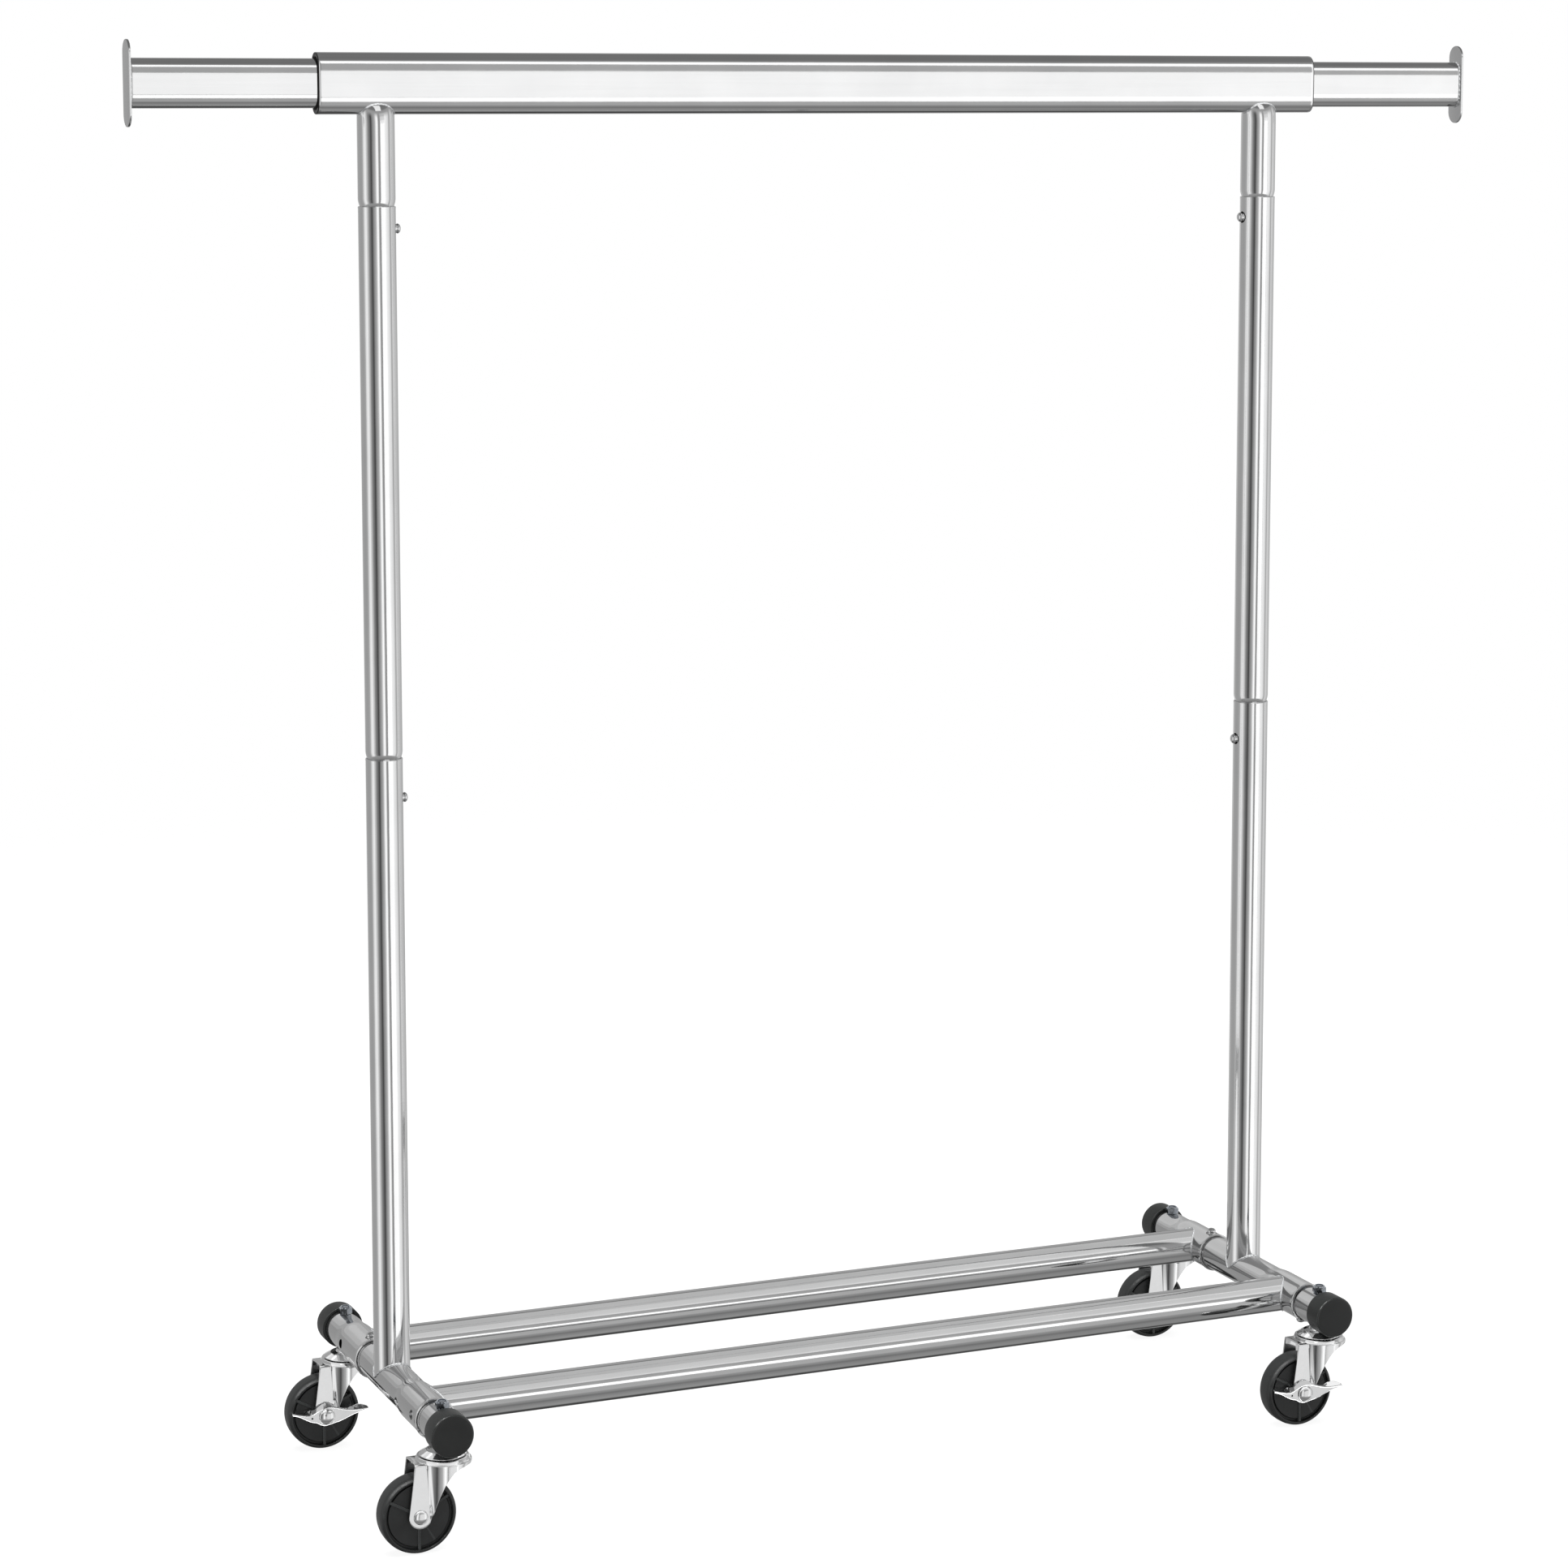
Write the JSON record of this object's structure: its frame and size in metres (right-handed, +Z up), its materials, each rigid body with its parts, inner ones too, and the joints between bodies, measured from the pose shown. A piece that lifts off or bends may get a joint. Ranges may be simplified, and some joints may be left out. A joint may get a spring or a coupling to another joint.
{
  "type": "rolling clothes rack",
  "caption": "Free-standing chromed tube clothes rack with a flat oval hanging rail, pull-out end bars, snap-jointed posts and swivel casters with wheel brakes.",
  "frame": {"origin": "on the floor, midway between the two feet", "axes": "+X along the rack to the right, +Y to the back, +Z up"},
  "size_m": [1.52, 0.413, 1.51],
  "materials": {
    "chrome_tube": "bright polished chrome plating",
    "caster_steel": "bright chrome on pressed steel",
    "zinc_hardware": "blue-white zinc plating",
    "guide_plastic": "satin black nylon",
    "cap_plastic": "satin black moulded plastic",
    "wheel_plastic": "satin black moulded plastic"
  },
  "bodies": {
    "frame": {"rail_sleeve": "chrome_tube", "rail_guide_left": "guide_plastic", "rail_guide_right": "guide_plastic", "stub_post_left": "chrome_tube", "stub_post_right": "chrome_tube", "middle_post_left": "chrome_tube", "middle_post_right": "chrome_tube", "lower_post_left": "chrome_tube", "lower_post_right": "chrome_tube", "foot_tee_left": "chrome_tube", "foot_tee_right": "chrome_tube", "foot_rear_left": "chrome_tube", "foot_rear_right": "chrome_tube", "foot_front_left": "chrome_tube", "foot_front_right": "chrome_tube", "cap_left_rear": "cap_plastic", "cap_left_front": "cap_plastic", "cap_right_rear": "cap_plastic", "cap_right_front": "cap_plastic", "base_rail_front": "chrome_tube", "base_rail_rear": "chrome_tube", "rail_spigots": "chrome_tube", "rail_screws": "zinc_hardware", "stem_nuts": "zinc_hardware", "caster_stems": "zinc_hardware", "swivel_cups": "caster_steel", "swivel_balls": "zinc_hardware"},
    "extension_left": {"bar_left": "chrome_tube", "bar_glide_left": "guide_plastic", "end_plate_left": "chrome_tube"},
    "extension_right": {"bar_right": "chrome_tube", "bar_glide_right": "guide_plastic", "end_plate_right": "chrome_tube"},
    "fork_left_front": {"fork_left_front": "caster_steel", "axle_left_front": "zinc_hardware"},
    "wheel_left_front": {"wheel_left_front": "wheel_plastic"},
    "fork_left_rear": {"fork_left_rear": "caster_steel", "axle_left_rear": "zinc_hardware"},
    "wheel_left_rear": {"wheel_left_rear": "wheel_plastic"},
    "fork_right_front": {"fork_right_front": "caster_steel", "axle_right_front": "zinc_hardware"},
    "wheel_right_front": {"wheel_right_front": "wheel_plastic"},
    "fork_right_rear": {"fork_right_rear": "caster_steel", "axle_right_rear": "zinc_hardware"},
    "wheel_right_rear": {"wheel_right_rear": "wheel_plastic"},
    "brake_lever_left_rear": {"brake_lever_left_rear": "caster_steel"},
    "brake_lever_right_front": {"brake_lever_right_front": "caster_steel"},
    "button_upper_left": {"button_upper_left": "zinc_hardware"},
    "button_upper_right": {"button_upper_right": "zinc_hardware"},
    "button_lower_left": {"button_lower_left": "zinc_hardware"},
    "button_lower_right": {"button_lower_right": "zinc_hardware"},
    "button_foot_rear_left": {"button_foot_rear_left": "zinc_hardware"},
    "button_foot_rear_right": {"button_foot_rear_right": "zinc_hardware"},
    "button_foot_front_left": {"button_foot_front_left": "zinc_hardware"},
    "button_foot_front_right": {"button_foot_front_right": "zinc_hardware"}
  },
  "joints": [
    {"name": "extend_left", "type": "slide", "parent": "frame", "child": "extension_left", "axis": [-1, 0, 0], "range_m": [-0.189, 0]},
    {"name": "extend_right", "type": "slide", "parent": "frame", "child": "extension_right", "axis": [1, 0, 0], "range_m": [-0.189, 0]},
    {"name": "swivel_left_front", "type": "hinge", "parent": "frame", "child": "fork_left_front", "pos_m": [-0.506, -0.171, 0.094], "axis": [0, 0, 1], "continuous": true},
    {"name": "roll_left_front", "type": "hinge", "parent": "fork_left_front", "child": "wheel_left_front", "pos_m": [-0.5345, -0.171, 0.04], "axis": [0, 1, 0], "continuous": true},
    {"name": "swivel_left_rear", "type": "hinge", "parent": "frame", "child": "fork_left_rear", "pos_m": [-0.506, 0.171, 0.094], "axis": [0, 0, 1], "continuous": true},
    {"name": "roll_left_rear", "type": "hinge", "parent": "fork_left_rear", "child": "wheel_left_rear", "pos_m": [-0.5345, 0.171, 0.04], "axis": [0, 1, 0], "continuous": true},
    {"name": "swivel_right_front", "type": "hinge", "parent": "frame", "child": "fork_right_front", "pos_m": [0.506, -0.171, 0.094], "axis": [0, 0, 1], "continuous": true},
    {"name": "roll_right_front", "type": "hinge", "parent": "fork_right_front", "child": "wheel_right_front", "pos_m": [0.4775, -0.171, 0.04], "axis": [0, 1, 0], "continuous": true},
    {"name": "swivel_right_rear", "type": "hinge", "parent": "frame", "child": "fork_right_rear", "pos_m": [0.506, 0.171, 0.094], "axis": [0, 0, 1], "continuous": true},
    {"name": "roll_right_rear", "type": "hinge", "parent": "fork_right_rear", "child": "wheel_right_rear", "pos_m": [0.4775, 0.171, 0.04], "axis": [0, 1, 0], "continuous": true},
    {"name": "brake_left_rear", "type": "hinge", "parent": "fork_left_rear", "child": "brake_lever_left_rear", "pos_m": [-0.5345, 0.15, 0.04], "axis": [0, -1, 0], "range_deg": [0, 22]},
    {"name": "brake_right_front", "type": "hinge", "parent": "fork_right_front", "child": "brake_lever_right_front", "pos_m": [0.4775, -0.192, 0.04], "axis": [0, -1, 0], "range_deg": [0, 22]},
    {"name": "press_upper_left", "type": "slide", "parent": "frame", "child": "button_upper_left", "axis": [1, 0, 0], "range_m": [-0.0072, 0], "stiffness_N_per_m": 1500},
    {"name": "press_upper_right", "type": "slide", "parent": "frame", "child": "button_upper_right", "axis": [-1, 0, 0], "range_m": [-0.0072, 0], "stiffness_N_per_m": 1500},
    {"name": "press_lower_left", "type": "slide", "parent": "frame", "child": "button_lower_left", "axis": [1, 0, 0], "range_m": [-0.0072, 0], "stiffness_N_per_m": 1500},
    {"name": "press_lower_right", "type": "slide", "parent": "frame", "child": "button_lower_right", "axis": [-1, 0, 0], "range_m": [-0.0072, 0], "stiffness_N_per_m": 1500},
    {"name": "press_foot_rear_left", "type": "slide", "parent": "frame", "child": "button_foot_rear_left", "axis": [0, 0, 1], "range_m": [-0.0072, 0], "stiffness_N_per_m": 1500},
    {"name": "press_foot_rear_right", "type": "slide", "parent": "frame", "child": "button_foot_rear_right", "axis": [0, 0, 1], "range_m": [-0.0072, 0], "stiffness_N_per_m": 1500},
    {"name": "press_foot_front_left", "type": "slide", "parent": "frame", "child": "button_foot_front_left", "axis": [0, 0, -1], "range_m": [-0.0072, 0], "stiffness_N_per_m": 1500},
    {"name": "press_foot_front_right", "type": "slide", "parent": "frame", "child": "button_foot_front_right", "axis": [0, 0, -1], "range_m": [-0.0072, 0], "stiffness_N_per_m": 1500}
  ]
}
